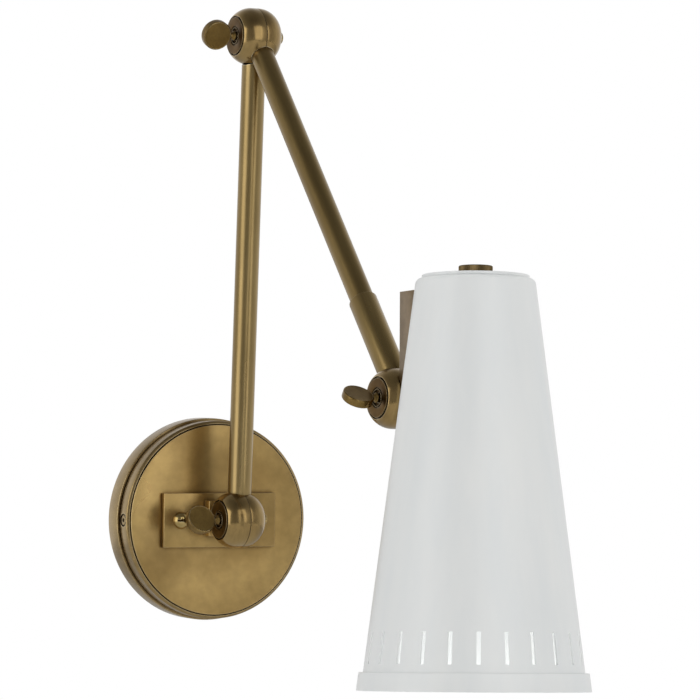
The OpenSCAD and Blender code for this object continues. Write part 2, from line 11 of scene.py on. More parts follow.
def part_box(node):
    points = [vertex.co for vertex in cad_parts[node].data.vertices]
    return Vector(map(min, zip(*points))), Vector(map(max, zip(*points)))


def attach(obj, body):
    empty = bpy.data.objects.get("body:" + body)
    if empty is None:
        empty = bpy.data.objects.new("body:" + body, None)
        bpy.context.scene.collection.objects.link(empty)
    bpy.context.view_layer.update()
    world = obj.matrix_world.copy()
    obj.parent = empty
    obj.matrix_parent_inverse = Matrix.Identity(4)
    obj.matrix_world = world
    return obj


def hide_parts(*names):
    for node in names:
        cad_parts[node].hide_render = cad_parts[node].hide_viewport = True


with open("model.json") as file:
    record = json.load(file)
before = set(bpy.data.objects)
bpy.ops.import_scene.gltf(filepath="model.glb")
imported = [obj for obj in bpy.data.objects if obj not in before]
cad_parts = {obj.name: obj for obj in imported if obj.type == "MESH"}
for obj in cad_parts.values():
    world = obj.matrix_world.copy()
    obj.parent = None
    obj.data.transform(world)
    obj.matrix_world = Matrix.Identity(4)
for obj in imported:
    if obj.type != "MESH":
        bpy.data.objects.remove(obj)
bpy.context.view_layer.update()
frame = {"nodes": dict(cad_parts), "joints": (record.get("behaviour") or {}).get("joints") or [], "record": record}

MM = 0.001
JOINTS = {joint["name"]: joint for joint in frame["joints"]}


# ---------------------------------------------------------------- frames

def point_of(joint):
    return Vector(JOINTS[joint]["pos_m"])


def axis_of(joint):
    return Vector(JOINTS[joint]["axis"]).normalized()


def placed(origin, z_axis, x_hint):
    """A frame at origin with its Z along z_axis and its X as near to x_hint as it can be."""
    z = Vector(z_axis).normalized()
    x = (Vector(x_hint) - z * z.dot(Vector(x_hint))).normalized()
    y = z.cross(x)
    turn = Matrix((x, y, z)).transposed().to_4x4()
    return Matrix.Translation(Vector(origin)) @ turn


UP = Vector((0, 0, 1))
RIGHT = Vector((1, 0, 0))
OUT = Vector((0, -1, 0))

wall_point = point_of("wall_pivot")
elbow_point = point_of("elbow_pivot")
shade_point = point_of("shade_tilt")
shade_crown = point_of("switch_knob_turn")
shade_axis = axis_of("switch_knob_turn")
tilt_axis = axis_of("shade_tilt")

PLATE = placed((0, 0, 0), OUT, RIGHT)
LOWER = placed(wall_point, elbow_point - wall_point, RIGHT)
UPPER = placed(elbow_point, shade_point - elbow_point, RIGHT)
SLEEVE = placed(shade_point, axis_of("head_swivel"), tilt_axis)
SHADE = placed(shade_crown, shade_axis, tilt_axis)


# ---------------------------------------------------------------- mesh tools

CORNER_STEPS = 3
CORNER_SHARE = 0.45   # the most of an edge that the rounding of one end may take
LEAST_TURN = 12       # degrees; a corner that turns less is left as it is
SMOOTH_ANGLE = 32     # degrees; steeper edges stay sharp
HARD_ANGLE = 30       # degrees; steeper edges are bevelled
FLAT_ANGLE = 0.5      # degrees; faces nearer than this to one plane are joined
TINY = 1e-6
BEVEL_STEPS = 3
FINISH_STEPS = 2


def soften(points, radius, closed):
    """The outline with each of its corners rounded by up to that radius."""
    count = len(points)
    result = []
    for i, corner in enumerate(points):
        if not closed and i in (0, count - 1):
            result.append(tuple(corner))
            continue
        here = Vector(corner)
        before, after = Vector(points[i - 1]), Vector(points[(i + 1) % count])
        to_before, to_after = before - here, after - here
        reach = min(radius, to_before.length * CORNER_SHARE, to_after.length * CORNER_SHARE)
        turn = math.pi - to_before.angle(to_after)
        if turn < math.radians(LEAST_TURN) or reach < TINY:
            result.append(tuple(corner))
            continue
        start = here + to_before.normalized() * reach
        end = here + to_after.normalized() * reach
        for k in range(CORNER_STEPS + 1):
            t = k / CORNER_STEPS
            result.append(tuple(start * (1 - t) ** 2 + here * 2 * t * (1 - t) + end * t ** 2))
    return result


def arc(x, y, radius, start, end, steps=12):
    """Points on a circle from one angle to another, in degrees."""
    angles = [math.radians(start + (end - start) * i / steps) for i in range(steps + 1)]
    return [(x + radius * math.cos(a), y + radius * math.sin(a)) for a in angles]


def new_piece(name, mesh, place):
    piece = bpy.data.objects.new(name, mesh)
    bpy.context.scene.collection.objects.link(piece)
    piece.matrix_world = place
    shade_smooth(piece)
    return piece


def shade_smooth(piece, angle=SMOOTH_ANGLE):
    mesh = piece.data
    mesh.polygons.foreach_set("use_smooth", [True] * len(mesh.polygons))
    mesh.set_sharp_from_angle(angle=math.radians(angle))
    mesh.update()


def mesh_from(build):
    """A mesh in metres from a bmesh that build() fills in millimetres."""
    bm = bmesh.new()
    build(bm)
    bmesh.ops.recalc_face_normals(bm, faces=bm.faces)
    bmesh.ops.scale(bm, vec=(MM, MM, MM), verts=bm.verts)
    mesh = bpy.data.meshes.new("mesh")
    bm.to_mesh(mesh)
    bm.free()
    return mesh


def lathe(name, outline, place, segments=96, rounding=0.3, closed=False, wave=None):
    """Turns an outline of (radius, height) round local Z. An open outline runs from axis to axis.
    wave(angle, height) adds to the radius, for ribs and threads. Sizes are in millimetres."""
    outline = soften(outline, rounding, closed)

    def build(bm):
        rings = []
        for radius, height in outline:
            if radius < TINY:
                rings.append([bm.verts.new((0, 0, height))])
                continue
            ring = []
            for i in range(segments):
                angle = 2 * math.pi * i / segments
                r = radius + (wave(angle, height) if wave else 0)
                ring.append(bm.verts.new((r * math.cos(angle), r * math.sin(angle), height)))
            rings.append(ring)
        pairs = list(zip(rings, rings[1:] + rings[:1]))
        for low, high in pairs if closed else pairs[:-1]:
            count = max(len(low), len(high))
            for i in range(count):
                j = (i + 1) % count
                corners = (low[i % len(low)], low[j % len(low)],
                           high[j % len(high)], high[i % len(high)])
                unique = list(dict.fromkeys(corners))
                if len(unique) > 2:
                    bm.faces.new(unique)

    return new_piece(name, mesh_from(build), place)


def rod(name, radius, low, high, place, segments=96):
    """A plain cylinder along local Z, for cutting."""
    outline = [(0, low), (radius, low), (radius, high), (0, high)]
    return lathe(name, outline, place, segments, rounding=0)


def prism(name, outline, low, high, place, bevel=0.0):
    """Extrudes an outline of (x, y) from one height to another, with its rims bevelled."""
    def build(bm):
        rim = [bm.verts.new((x, y, low)) for x, y in outline]
        face = bm.faces.new(rim)
        made = bmesh.ops.extrude_face_region(bm, geom=[face])["geom"]
        moved = [v for v in made if isinstance(v, bmesh.types.BMVert)]
        bmesh.ops.translate(bm, vec=(0, 0, high - low), verts=moved)
        if bevel:
            hard = [e for e in bm.edges if e.calc_face_angle(0) > math.radians(HARD_ANGLE)]
            bmesh.ops.bevel(bm, geom=hard, offset=bevel, segments=BEVEL_STEPS, profile=0.5,
                            affect="EDGES")

    return new_piece(name, mesh_from(build), place)


def box(name, low, high, place, bevel=0.0):
    corners = [(low[0], low[1]), (high[0], low[1]), (high[0], high[1]), (low[0], high[1])]
    return prism(name, corners, low[2], high[2], place, bevel)


def combine(piece, others, operation="DIFFERENCE", angle=SMOOTH_ANGLE):
    """Cuts the other shapes from the piece, or joins them to it, and removes them."""
    for other in others:
        step = piece.modifiers.new("combine", "BOOLEAN")
        step.operation = operation
        step.solver = "EXACT"
        step.object = other
    bpy.context.view_layer.update()
    graph = bpy.context.evaluated_depsgraph_get()
    mesh = bpy.data.meshes.new_from_object(piece.evaluated_get(graph))
    piece.modifiers.clear()
    piece.data = mesh
    for other in others:
        bpy.data.objects.remove(other)
    shade_smooth(piece, angle)
    return piece


def pair(make):
    """The two pieces that make(side) gives for sides -1 and 1, joined into one."""
    return combine(make(-1), [make(1)], "UNION")


def refined(node, width):
    """The CAD node's own shape with its flat faces joined up and its hard edges rounded."""
    bm = bmesh.new()
    bm.from_mesh(frame["nodes"][node].data)
    bmesh.ops.remove_doubles(bm, verts=bm.verts, dist=TINY)
    bmesh.ops.dissolve_limit(bm, angle_limit=math.radians(FLAT_ANGLE), verts=bm.verts,
                             edges=bm.edges)
    hard = [e for e in bm.edges
            if len(e.link_faces) == 2 and e.calc_face_angle(0) > math.radians(HARD_ANGLE)]
    bmesh.ops.bevel(bm, geom=hard, offset=width * MM, segments=FINISH_STEPS, profile=0.5,
                    affect="EDGES", clamp_overlap=True)
    mesh = bpy.data.meshes.new(node)
    bm.to_mesh(mesh)
    bm.free()
    return new_piece(node + "_finished", mesh, Matrix.Identity(4))


# ---------------------------------------------------------------- materials

NOISE_SHIFT = (0.371, 0.513, 0.219)   # keeps the origin of the noise off the pieces
NOISE_ROUGHNESS = 0.55
SHELTER_REACH = 4 * MM
SHELTER_SAMPLES = 12
EDGE_REACH = 0.7 * MM
EDGE_SAMPLES = 6
# colour of bare brass on worn edges, which also paints highlights along the edges
BARE_BRASS_AND_GLINT = (0.86, 0.74, 0.50)
# colour of patina and painted shade in corners, gaps and under other pieces
PATINA_AND_SHADE = (0.22, 0.17, 0.12)
WHITE = (1, 1, 1)


def link(tree, socket, target):
    tree.links.new(socket, target)


def feed(tree, socket, value):
    """Links a value that is a socket, and sets any other."""
    if isinstance(value, bpy.types.NodeSocket):
        link(tree, value, socket)
    else:
        socket.default_value = value


def node_of(tree, kind, **values):
    """A shader node with its sockets fed by name, or by number as i0, i1 and so on."""
    made = tree.nodes.new(kind)
    for key, value in values.items():
        if hasattr(made, key) and key not in made.inputs:
            setattr(made, key, value)
            continue
        numbered = key[0] == "i" and key[1:].isdigit()
        feed(tree, made.inputs[int(key[1:]) if numbered else key], value)
    return made


def set_inputs(node, values):
    for name, value in values.items():
        node.inputs[name].default_value = value


def rescale(tree, value, old, new):
    """Maps a value from the range old to the range new, clamped at its ends."""
    made = node_of(tree, "ShaderNodeMapRange", Value=value)
    names = ("From Min", "From Max", "To Min", "To Max")
    set_inputs(made, dict(zip(names, (*old, *new))))
    return made.outputs[0]


def ramp(tree, factor, stops):
    """A colour ramp with stops of (position, colour or grey)."""
    made = tree.nodes.new("ShaderNodeValToRGB")
    link(tree, factor, made.inputs[0])
    while len(made.color_ramp.elements) < len(stops):
        made.color_ramp.elements.new(0.5)
    for element, (position, colour) in zip(made.color_ramp.elements, stops):
        element.position = position
        grey = isinstance(colour, (int, float))
        element.color = (colour, colour, colour, 1) if grey else (*colour, 1)
    return made.outputs[0]


def mix(tree, factor, a, b, blend="MIX"):
    made = tree.nodes.new("ShaderNodeMix")
    made.data_type = "RGBA"
    made.blend_type = blend
    for index, value in ((0, factor), (6, a), (7, b)):
        feed(tree, made.inputs[index], (*value, 1) if isinstance(value, tuple) else value)
    return made.outputs[2]


def noise(tree, place, scale, detail=3.0, stretch=(1, 1, 1)):
    mapped = node_of(tree, "ShaderNodeMapping", Vector=place, Location=NOISE_SHIFT,
                     Scale=stretch).outputs[0]
    made = node_of(tree, "ShaderNodeTexNoise", Vector=mapped, Scale=scale, Detail=detail,
                   Roughness=NOISE_ROUGHNESS)
    return made.outputs["Fac"]


def new_material(name):
    material = bpy.data.materials.new(name)
    material.use_nodes = True
    tree = material.node_tree
    shader = tree.nodes["Principled BSDF"]
    place = tree.nodes.new("ShaderNodeTexCoord").outputs["Object"]
    return material, tree, shader, place


def bump(tree, shader, height, strength, distance):
    made = node_of(tree, "ShaderNodeBump", Strength=strength, Distance=distance, Height=height)
    link(tree, made.outputs[0], shader.inputs["Normal"])


def openness(tree):
    """1 where a point is open to its surroundings, lower in corners and behind other pieces."""
    made = node_of(tree, "ShaderNodeAmbientOcclusion", Distance=SHELTER_REACH)
    made.samples = SHELTER_SAMPLES
    return made.outputs["AO"]


def flatness(tree):
    """1 on flats and smooth curves, lower the nearer a point is to a hard edge."""
    rounded = node_of(tree, "ShaderNodeBevel", Radius=EDGE_REACH)
    rounded.samples = EDGE_SAMPLES
    plain_normal = tree.nodes.new("ShaderNodeNewGeometry").outputs["Normal"]
    return node_of(tree, "ShaderNodeVectorMath", operation="DOT_PRODUCT", i0=rounded.outputs[0],
                   i1=plain_normal).outputs["Value"]


def brass(name, light, dark, roughness, stretch=(1, 1, 1), blotch=38, wear_and_glint=0.6, coat=0.3):
    """Rubbed brass under lacquer: a soft patina, darker in recesses with patina and painted shade, and lighter on
    its edges with wear and painted highlights.
    """
    material, tree, shader, place = new_material(name)
    patches = ramp(tree, noise(tree, place, blotch, 2, stretch), [(0.34, 0.0), (0.66, 1.0)])
    specks = ramp(tree, noise(tree, place, blotch * 9, 3, stretch), [(0.35, 0.3), (0.65, 0.75)])
    tone = mix(tree, patches, light, dark)
    tone = mix(tree, 0.16, tone, specks, "OVERLAY")
    # Patina and painted shade: the brass is darkened in corners, gaps and where other pieces are close.
    recess_patina_and_shade = ramp(tree, openness(tree), [(0.30, PATINA_AND_SHADE), (0.85, WHITE)])
    tone = mix(tree, 1.0, tone, recess_patina_and_shade, "MULTIPLY")
    # Worn edges lightened towards bare brass, which also paints thin highlights along the edges.
    edge_wear_and_glint = ramp(tree, flatness(tree), [(0.88, wear_and_glint), (0.985, 0.0)])
    tone = mix(tree, edge_wear_and_glint, tone, BARE_BRASS_AND_GLINT)
    link(tree, tone, shader.inputs["Base Color"])
    set_inputs(shader, {"Metallic": 1.0, "Coat Weight": coat, "Coat Roughness": 0.22})
    rough = rescale(tree, patches, (0, 1), (roughness - 0.03, roughness + 0.07))
    link(tree, rough, shader.inputs["Roughness"])
    bump(tree, shader, noise(tree, place, 900, 2, stretch), 0.08, 0.06 * MM)
    return material


def enamel(name):
    """Satin white paint with a very faint drag along the shade and a fine orange peel."""
    material, tree, shader, place = new_material(name)
    streaks = noise(tree, place, 60, 3, (1, 1, 0.06))
    peel = noise(tree, place, 700, 2)
    tone = ramp(tree, streaks, [(0.3, (0.745, 0.765, 0.765)), (0.7, (0.79, 0.80, 0.79))])
    link(tree, tone, shader.inputs["Base Color"])
    rough = ramp(tree, streaks, [(0.3, 0.36), (0.7, 0.46)])
    link(tree, rough, shader.inputs["Roughness"])
    bump(tree, shader, peel, 0.06, 0.05 * MM)
    return material


def plain(name, low, high, roughness, metallic=0.0, scale=260, strength=0.12, stretch=(1, 1, 1)):
    """A plain surface with a little colour drift and a fine texture of its own."""
    material, tree, shader, place = new_material(name)
    grain = noise(tree, place, scale, 4, stretch)
    link(tree, ramp(tree, grain, [(0.3, low), (0.7, high)]), shader.inputs["Base Color"])
    link(tree, ramp(tree, grain, [(0.3, roughness), (0.7, roughness + 0.12)]),
         shader.inputs["Roughness"])
    set_inputs(shader, {"Metallic": metallic})
    bump(tree, shader, grain, strength, 0.05 * MM)
    return material


def opal(name):
    """Frosted bulb glass that lets a soft light through."""
    material = plain(name, (0.90, 0.90, 0.87), (0.95, 0.95, 0.93), 0.28, scale=120)
    set_inputs(material.node_tree.nodes["Principled BSDF"],
               {"Subsurface Weight": 0.35, "Subsurface Scale": 2 * MM, "Coat Weight": 0.4})
    return material


ALONG = (1, 1, 0.12)       # drags the patina out along a tube
AROUND = (0.5, 0.5, 1.6)   # and round a turned piece

plate_brass = brass("plate_brass", (0.56, 0.38, 0.14), (0.33, 0.213, 0.07), 0.30, blotch=17)
drum_brass = brass("drum_brass", (0.36, 0.252, 0.105), (0.26, 0.175, 0.068), 0.26, blotch=30)
cast_brass = brass("cast_brass", (0.41, 0.285, 0.112), (0.26, 0.17, 0.06), 0.15, AROUND, blotch=45)
tube_brass = brass("tube_brass", (0.37, 0.265, 0.11), (0.25, 0.17, 0.06), 0.28, ALONG, blotch=45)
arm_brass = brass("arm_brass", (0.33, 0.23, 0.085), (0.21, 0.14, 0.045), 0.28, ALONG, blotch=45)
# The coin's strong edge setting paints a bright highlight line round its rim, on top of its wear.
coin_brass = brass("coin_brass", (0.24, 0.155, 0.045), (0.17, 0.105, 0.028), 0.30, blotch=90,
                   wear_and_glint=0.9, coat=0.15)
cap_brass = brass("cap_brass", (0.13, 0.07, 0.014), (0.09, 0.046, 0.008), 0.36, blotch=90,
                  wear_and_glint=0.7, coat=0.0)
# knob_brass and bracket_brass are darker copies of the brass: painted shade on the knob and on the bracket behind
# the shade.
knob_brass = brass("knob_brass", (0.17, 0.115, 0.045), (0.12, 0.08, 0.03), 0.34, blotch=90,
                   wear_and_glint=0.06, coat=0.1)
bracket_brass = brass("bracket_brass", (0.22, 0.15, 0.075), (0.16, 0.108, 0.05), 0.32, blotch=60,
                      wear_and_glint=0.2, coat=0.1)
polished_brass = brass("polished_brass", (0.46, 0.34, 0.13), (0.32, 0.22, 0.075), 0.16,
                       blotch=150)
plated_brass = plain("plated_brass", (0.70, 0.60, 0.36), (0.80, 0.70, 0.45), 0.24, 1.0)
white_enamel = enamel("white_enamel")
steel = plain("steel", (0.50, 0.50, 0.52), (0.64, 0.64, 0.66), 0.30, 1.0, stretch=(1, 1, 0.2))
fibre = plain("fibre", (0.10, 0.075, 0.055), (0.16, 0.12, 0.09), 0.55, scale=500, strength=0.3)
porcelain = plain("porcelain", (0.84, 0.82, 0.77), (0.90, 0.89, 0.85), 0.12, scale=90,
                  strength=0.03)
rubber = plain("rubber", (0.015, 0.015, 0.017), (0.035, 0.035, 0.038), 0.48, scale=600)
opal_glass = opal("opal_glass")

SLOT_MATERIALS = {
    "aged_brass": cast_brass,
    "bright_brass": polished_brass,
    "plated_brass": plated_brass,
    "enamel": white_enamel,
    "steel": steel,
    "fibre": fibre,
    "porcelain": porcelain,
    "lead": rubber,
    "bulb_glass": opal_glass,
}
NODE_SLOTS = {part["node"]: part["material_slot"] for part in frame["record"]["subparts"]}
NODE_BODIES = {node: body for body, nodes in frame["record"]["behaviour"]["bodies"].items()
               for node in nodes}
TILTED_BODIES = ("head", "knob")


def dress(piece, material):
    piece.data.materials.clear()
    piece.data.materials.append(material)
    return piece


def stands_for(piece, node, material):
    """Gives the piece its material and lets it take the place of a CAD node on its body.
    Bounds are read from local boxes, which are too wide on a turned shape, so the tilted pieces
    of the head keep their points in the world's frame."""
    piece.name = node + "_detail"
    if NODE_BODIES[node] in TILTED_BODIES:
        piece.data.transform(piece.matrix_world)
        piece.matrix_world = Matrix.Identity(4)
    dress(piece, material)
    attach(piece, NODE_BODIES[node])
    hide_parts(node)
    return piece


# ---------------------------------------------------------------- wall plate

RING_R = 60.3
RING_T = 12.1
RING_IN = 54.5
GROOVE_R = 57.0
DRUM_Y = 13.2
DRUM_R = 58.9
FACE_Y = 23.75
FACE_R = 56.5
FACE_T = 2.8
SIDE_SCREW_Y = 17.675
PLATE_T = 3.5
SCREW_GAP = 51.0
SCREW_HEAD_R = 5.2
SCREW_HEAD_H = 4.2
SCREW_SHANK_R = 2
SCREW_LENGTH = 13
SCREW_SLOT_W = 1.1
SCREW_SLOT_DEPTH = 1.5
SCREW_SINK = 0.02
KEY_R = 1.5          # corner radius of the hexagon in the side screws
KEY_DEPTH = 0.8
SIDE_SCREW_SINK = 0.2


def dome_screw(side):
    """One of the bracket plate's slotted dome-head screws."""
    place = placed((side * SCREW_GAP / 2 * MM, -(FACE_Y + PLATE_T) * MM, 0), OUT, RIGHT)
    ball = (SCREW_HEAD_R ** 2 + SCREW_HEAD_H ** 2) / (2 * SCREW_HEAD_H)
    edge = math.degrees(math.asin(SCREW_HEAD_R / ball))
    dome = arc(0, SCREW_HEAD_H - ball, ball, 90, 90 - edge, 10)
    screw = lathe("screw", [
        *dome, (SCREW_HEAD_R, -SCREW_SINK), (SCREW_SHANK_R, -SCREW_SINK),
        (SCREW_SHANK_R, -SCREW_LENGTH), (0, -SCREW_LENGTH)], place, segments=64, rounding=0.12)
    reach = SCREW_HEAD_R * 1.2
    slot = box("slot", (-reach, -SCREW_SLOT_W / 2, SCREW_HEAD_H - SCREW_SLOT_DEPTH),
               (reach, SCREW_SLOT_W / 2, 9), place)
    return combine(screw, [slot])


def side_seat(side, radius):
    """Where a side screw enters the canopy, its Z pointing out of it."""
    return placed((side * radius * MM, -SIDE_SCREW_Y * MM, 0), (side, 0, 0), UP)


def side_hole(side):
    return lathe("hole", [(0, -8), (2.1, -8), (2.1, -1.5), (3.9, -1.5), (3.9, 4), (0, 4)],
                 side_seat(side, DRUM_R), segments=64, rounding=0)


def side_screw(side):
    seat = side_seat(side, DRUM_R - SIDE_SCREW_SINK)
    screw = lathe("screw", [(0, 0), (2.9, 0), (2.9, -1.2), (1.85, -1.2), (1.85, -12), (0, -12)],
                  seat, segments=64)
    hexagon = arc(0, 0, KEY_R, 0, 300, 5)
    return combine(screw, [prism("key", hexagon, -KEY_DEPTH, 1, seat)])


def wall_plate():
    spigot = DRUM_Y - 0.1
    ring = lathe("ring", [
        (RING_IN, 0), (RING_R, 0), (RING_R, RING_T), (GROOVE_R, RING_T), (GROOVE_R, spigot),
        (RING_IN, spigot)], PLATE, segments=256, rounding=0.7, closed=True)
    stands_for(ring, "wall_ring", drum_brass)

    lip = FACE_R + 0.6
    bed = FACE_Y - FACE_T - 0.2
    brim = FACE_Y - 0.6
    drum = lathe("drum", [
        (RING_IN, DRUM_Y), (DRUM_R, DRUM_Y), (DRUM_R, FACE_Y - 1.5), (lip + 0.3, brim), (lip, brim),
        (lip, bed), (RING_IN, bed)], PLATE, segments=256, rounding=0.6, closed=True)
    stands_for(combine(drum, [side_hole(-1), side_hole(1)]), "canopy_drum", drum_brass)
    stands_for(pair(side_screw), "canopy_screws", cast_brass)

    face = lathe("face", [
        (0, FACE_Y), (20, FACE_Y), (40, FACE_Y), (FACE_R, FACE_Y), (FACE_R, FACE_Y - FACE_T),
        (0, FACE_Y - FACE_T)], PLATE, segments=256, rounding=0.5)
    stands_for(face, "face_disc", plate_brass)

    low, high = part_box("bracket_plate")
    half_w, half_h = (high.x - low.x) / 2 / MM, (high.z - low.z) / 2 / MM
    plate = box("plate", (-half_w, -half_h, FACE_Y), (half_w, half_h, FACE_Y + PLATE_T), PLATE,
                bevel=0.35)
    stands_for(plate, "bracket_plate", plate_brass)
    stands_for(pair(dome_screw), "bracket_screws", polished_brass)

    for node, width, material in (
            ("wall_lug", 0.5, plate_brass), ("mounting_bar", 0.3, steel),
            ("bracket_nuts", 0.25, steel), ("wall_lug_nut", 0.35, steel)):
        stands_for(refined(node, width), node, material)


# ---------------------------------------------------------------- knuckles

LOWER_R = 6.95
UPPER_R = 6.75
SLEEVE_R = 8.0

KNUCKLE_R = 16.7
CAP_Z = 12.8          # outer face of the left shell, before its extra depth
END_Z = 14.2          # outer face of the right shell
ROUND_R = 12.7        # radius of both shells' rounding
LEFT_FLAT = 3         # from the pivot's plane to the start of the rounding
RIGHT_FLAT = 1.5
CAVITY_R = 12.2
CAVITY_Z = 5.2
CAP_R = 10.9
CAP_GAP = 0.8
CAP_DEPTH = 1.4
CAP_PROUD = 0.5
BORE_R = 2.56
SLOT_HALF = 3.4
SLOT_MARGIN = 18
SPLIT = 0.06          # half the gap between the shells
SEAM = 0.32
SOCKET_PLAY = 0.15
SHELL_ANGLE = 40      # smoothing of the cut shells, in degrees
SHADE_EXTRA = 3.6     # the shade's knuckle has a deeper left shell

COIN_R = 8.7
COIN_HALF = 2.4
COIN_OFFSET = 12.2
COIN_DISH = 0.12
WALL_COIN_TURN = 62
ELBOW_COIN_TURN = 113
SHADE_COIN_TURN = 72


def angle_in(place, direction):
    """Angle of a direction about the frame's Z, in degrees from its X."""
    local = place.to_3x3().inverted() @ Vector(direction)
    return math.degrees(math.atan2(local.y, local.x))


def across(place, degrees, height=0.0):
    """A frame with its Z at that angle about the given frame's Z, at a height along it."""
    turn = math.radians(degrees)
    rotation = place.to_3x3()
    direction = rotation @ Vector((math.cos(turn), math.sin(turn), 0))
    return placed(place @ Vector((0, 0, height * MM)), direction, rotation @ UP)


def wedge(place, start, end):
    """The room that the flat tang sweeps, between two angles."""
    return prism("wedge", [(0, 0), *arc(0, 0, 30, start, end)], -SLOT_HALF, SLOT_HALF, place)


def knuckle(prefix, place, arm_angle, hole_r, slot_from, slot_to, coin_turn, extra=0.0):
    """Two half shells, a cap disc, a dome nut and a thumb screw round one pivot."""
    half_arc = math.degrees(math.asin((CAP_Z - LEFT_FLAT) / ROUND_R))
    centre = KNUCKLE_R - ROUND_R
    cap_z = CAP_Z + extra
    seat_r, seat_z = CAP_R + CAP_GAP, -cap_z + CAP_DEPTH
    left = lathe("left", [
        (KNUCKLE_R - SEAM, -SPLIT), (KNUCKLE_R, -SPLIT - SEAM),
        *arc(centre, -LEFT_FLAT - extra, ROUND_R, 0, -half_arc, 20),
        (seat_r, -cap_z), (seat_r, seat_z), (BORE_R, seat_z), (BORE_R, -CAVITY_Z),
        (CAVITY_R, -CAVITY_Z), (CAVITY_R, -SPLIT)], place, segments=144, rounding=0.15, closed=True)
    right = lathe("right", [
        (KNUCKLE_R - SEAM, SPLIT), (KNUCKLE_R, SPLIT + SEAM),
        *arc(centre, RIGHT_FLAT, ROUND_R, 0, 90, 28), (BORE_R, END_Z), (BORE_R, CAVITY_Z),
        (CAVITY_R, CAVITY_Z), (CAVITY_R, SPLIT)], place, segments=144, rounding=0.15, closed=True)
    arm = across(place, arm_angle)
    for shell, side in ((left, "left"), (right, "right")):
        socket = rod("socket", hole_r + SOCKET_PLAY, 3, 30, arm)
        combine(shell, [wedge(place, slot_from, slot_to), socket], angle=SHELL_ANGLE)
        stands_for(shell, f"{prefix}_knuckle_{side}", cast_brass)

    front, groove, bottom = -cap_z - CAP_PROUD, -cap_z + 0.4, -cap_z + 0.9
    cap = lathe("cap", [
        (BORE_R, seat_z), (CAP_R, seat_z), (CAP_R, front), (5.7, front), (5.5, groove),
        (5.0, groove), (4.85, front), (4.5, front), (4.3, bottom), (BORE_R, bottom)],
        place, segments=128, rounding=0.5, closed=True)
    stands_for(cap, f"{prefix}_knuckle_cap", cap_brass)

    nut = lathe("nut", [
        (BORE_R, END_Z), (4.4, END_Z), (4.4, END_Z + 1.1), (3.6, END_Z + 1.5), (3.5, END_Z + 2.8),
        (2.6, END_Z + 3.4), (0, END_Z + 3.4), (0, END_Z + 2.2), (BORE_R, END_Z + 2.2)],
        place, segments=64, rounding=0.25, closed=True)
    slot = box("slot", (-6, -0.4, END_Z + 2.8), (6, 0.4, END_Z + 5), place)
    stands_for(combine(nut, [slot]), f"{prefix}_knuckle_nut", polished_brass)

    thumb_screw(prefix, place, cap_z, coin_turn)


def thumb_screw(prefix, place, cap_z, turn):
    """A turned shank from the far shell to the coin that the fingers turn."""
    coin_z = -cap_z - COIN_OFFSET
    shank = lathe("shank", [
        (0, coin_z + 5), (2.3, coin_z + 5), (1.9, coin_z + 7.6), (1.6, coin_z + 8.8),
        (1.9, coin_z + 10.0), (2.9, coin_z + 11.1), (2.9, coin_z + 11.8), (2.5, coin_z + 11.8),
        (2.5, END_Z + 2), (0, END_Z + 2)], place, segments=64, rounding=0.5)
    rim, face = COIN_R - 0.55, COIN_HALF - COIN_DISH
    coin = lathe("coin", [
        (0, face), (rim - 0.35, face), (rim, COIN_HALF), (COIN_R, COIN_HALF - 0.5),
        (COIN_R, -COIN_HALF + 0.5), (rim, -COIN_HALF), (rim - 0.35, -face), (0, -face)],
        across(place, turn, coin_z), segments=128, rounding=0.25)
    stands_for(combine(coin, [shank], "UNION"), f"{prefix}_thumb_screw", coin_brass)


def knuckles():
    wall_place = placed(wall_point, axis_of("wall_pivot"), UP)
    lower_angle = angle_in(wall_place, elbow_point - wall_point)
    back, forward = JOINTS["wall_pivot"]["range_deg"]
    knuckle("wall", wall_place, lower_angle, LOWER_R, -90 - forward - SLOT_MARGIN,
            -90 - back + SLOT_MARGIN, WALL_COIN_TURN)

    elbow_place = placed(elbow_point, axis_of("elbow_pivot"), UP)
    upper_angle = angle_in(elbow_place, shade_point - elbow_point)
    closed = angle_in(elbow_place, wall_point - elbow_point) % 360
    opening = -JOINTS["elbow_pivot"]["range_deg"][0]
    knuckle("elbow", elbow_place, upper_angle, UPPER_R, closed - SLOT_MARGIN,
            closed + opening + SLOT_MARGIN, ELBOW_COIN_TURN)

    shade_place = placed(shade_point, tilt_axis, axis_of("head_swivel"))
    lug_angle = angle_in(shade_place, shade_axis.cross(tilt_axis) * -1)
    low, high = JOINTS["shade_tilt"]["range_deg"]
    knuckle("shade", shade_place, 0, SLEEVE_R, lug_angle + low - SLOT_MARGIN,
            lug_angle + high + SLOT_MARGIN, SHADE_COIN_TURN, SHADE_EXTRA)


# ---------------------------------------------------------------- arms

SOCKET_S = 12.6       # from a pivot to the end of the tube that its knuckle holds
SLEEVE_TOP = 72.0
SPINDLE_S = 52.0
TUBE_WALL = 1
TUBE_ROWS = 24
KNUCKLE_PLAY = 0.3
BUSH_TOP = 44
BUSH_BOTTOM = 34
BUSH_R = 4.06
NUT_ROOM_R = 6.4
SLEEVE_BORE_R = 2


def tube(name, radius, end, place):
    """A tube from the knuckle's socket out to a distance along local Z."""
    length = end - SOCKET_S
    rows = [(radius, SOCKET_S + length * i / TUBE_ROWS) for i in range(1, TUBE_ROWS)]
    return lathe(name, [
        (radius - TUBE_WALL, SOCKET_S), (radius, SOCKET_S), *rows, (radius, end),
        (radius - TUBE_WALL, end)], place, rounding=0.2, closed=True)


